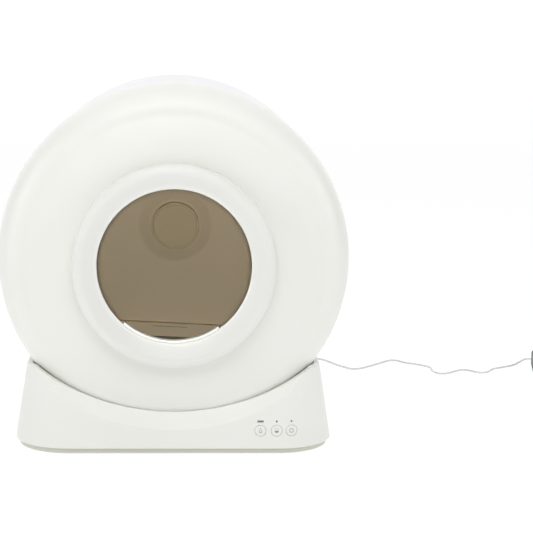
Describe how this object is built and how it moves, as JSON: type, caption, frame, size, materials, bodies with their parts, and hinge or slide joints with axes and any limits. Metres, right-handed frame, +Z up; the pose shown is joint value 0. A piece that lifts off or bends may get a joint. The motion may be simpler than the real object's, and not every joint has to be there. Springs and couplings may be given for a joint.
{
  "type": "self cleaning litter box",
  "caption": "Wheel shaped self cleaning litter box: a round drum with a raised entry ring turns on rollers in a low cradle base with push buttons and a power lead.",
  "frame": {"origin": "on the floor under the middle of the drum and base, leaving out the free lead", "axes": "+Z up; the entrance faces -Y; +X is to the right as the entrance is looked at"},
  "size_m": [1.0351, 0.7512, 0.555],
  "materials": {
    "white_shell": "fine satin, warm white",
    "cool_shell": "fine satin, cool white",
    "taupe_liner": "matt",
    "grey_plastic": "matt",
    "dark_plastic": "matt",
    "plinth": "matt",
    "black_rubber": "matt",
    "steel": "bright",
    "lamp_window": "dark gloss",
    "circuit_board": "matt",
    "grey_cord": "satin"
  },
  "bodies": {
    "base": {"base_housing": "white_shell", "base_tray": "plinth", "foot_front_left": "black_rubber", "foot_front_right": "black_rubber", "foot_rear_left": "black_rubber", "foot_rear_right": "black_rubber", "front_left_roller_fork": "dark_plastic", "front_left_roller_axle": "steel", "front_right_roller_fork": "dark_plastic", "front_right_roller_axle": "steel", "rear_left_roller_fork": "dark_plastic", "rear_left_roller_axle": "steel", "rear_right_roller_fork": "dark_plastic", "rear_right_roller_axle": "steel", "gearbox": "dark_plastic", "drive_motor": "steel", "motor_bracket": "steel", "control_board": "circuit_board", "lamp_left": "lamp_window", "lamp_middle": "lamp_window", "lamp_right": "lamp_window", "dc_socket": "dark_plastic", "power_cord": "grey_cord", "power_cord_coil": "grey_cord", "cord_tie": "dark_plastic", "lead_plug": "dark_plastic", "adapter_relief": "dark_plastic", "power_adapter": "dark_plastic", "adapter_blade_left": "steel", "adapter_blade_right": "steel"},
    "drum": {"drum_front_shell": "white_shell", "drum_rear_shell": "cool_shell", "drum_back_panel": "cool_shell", "hub_cup": "cool_shell", "entry_ring": "white_shell", "entry_lip": "white_shell", "litter_chamber": "taupe_liner", "hub_cap": "taupe_liner", "hub_bolt": "steel", "back_ledge": "taupe_liner", "litter_mat": "black_rubber", "bin_shelf": "taupe_liner", "sieve_grid": "grey_plastic", "ring_gear": "grey_plastic"},
    "bin": {"waste_bin": "grey_plastic", "bin_door": "cool_shell"},
    "latch": {"bin_latch": "dark_plastic"},
    "pinion": {"drive_pinion": "grey_plastic", "pinion_shaft": "steel"},
    "button_left": {"button_left": "white_shell"},
    "button_middle": {"button_middle": "white_shell"},
    "button_right": {"button_right": "white_shell"},
    "front_left_roller": {"front_left_roller_tyre": "black_rubber", "front_left_roller_hub": "grey_plastic"},
    "front_right_roller": {"front_right_roller_tyre": "black_rubber", "front_right_roller_hub": "grey_plastic"},
    "rear_left_roller": {"rear_left_roller_tyre": "black_rubber", "rear_left_roller_hub": "grey_plastic"},
    "rear_right_roller": {"rear_right_roller_tyre": "black_rubber", "rear_right_roller_hub": "grey_plastic"}
  },
  "joints": [
    {"name": "drum_spin", "type": "hinge", "parent": "base", "child": "drum", "pos_m": [0, 0, 0.29], "axis": [0, 1, 0], "continuous": true},
    {"name": "front_left_roller_spin", "type": "hinge", "parent": "base", "child": "front_left_roller", "pos_m": [-0.16652, -0.146, 0.0608], "axis": [0, 1, 0], "continuous": true},
    {"name": "front_right_roller_spin", "type": "hinge", "parent": "base", "child": "front_right_roller", "pos_m": [0.16652, -0.146, 0.0608], "axis": [0, 1, 0], "continuous": true},
    {"name": "rear_left_roller_spin", "type": "hinge", "parent": "base", "child": "rear_left_roller", "pos_m": [-0.16476, 0.194, 0.06323], "axis": [0, 1, 0], "continuous": true},
    {"name": "rear_right_roller_spin", "type": "hinge", "parent": "base", "child": "rear_right_roller", "pos_m": [0.16476, 0.194, 0.06323], "axis": [0, 1, 0], "continuous": true},
    {"name": "pinion_spin", "type": "hinge", "parent": "base", "child": "pinion", "pos_m": [-0.17316, -0.1154, 0.06837], "axis": [0, 1, 0], "continuous": true},
    {"name": "bin_pull", "type": "slide", "parent": "drum", "child": "bin", "axis": [0, 1, 0], "range_m": [0, 0.3]},
    {"name": "latch_lift", "type": "slide", "parent": "bin", "child": "latch", "axis": [0.0454, 0, 0.999], "range_m": [0, 0.006], "stiffness_N_per_m": 150},
    {"name": "button_left_press", "type": "slide", "parent": "base", "child": "button_left", "axis": [0, 1, 0], "range_m": [0, 0.001], "stiffness_N_per_m": 400},
    {"name": "button_middle_press", "type": "slide", "parent": "base", "child": "button_middle", "axis": [0, 1, 0], "range_m": [0, 0.001], "stiffness_N_per_m": 400},
    {"name": "button_right_press", "type": "slide", "parent": "base", "child": "button_right", "axis": [0, 1, 0], "range_m": [0, 0.001], "stiffness_N_per_m": 400}
  ],
  "couplings": [
    {"joint": "front_left_roller_spin", "follows": "drum_spin", "ratio": -14.722},
    {"joint": "front_right_roller_spin", "follows": "drum_spin", "ratio": -14.722},
    {"joint": "rear_left_roller_spin", "follows": "drum_spin", "ratio": -14.556},
    {"joint": "rear_right_roller_spin", "follows": "drum_spin", "ratio": -14.556},
    {"joint": "pinion_spin", "follows": "drum_spin", "ratio": -8}
  ]
}
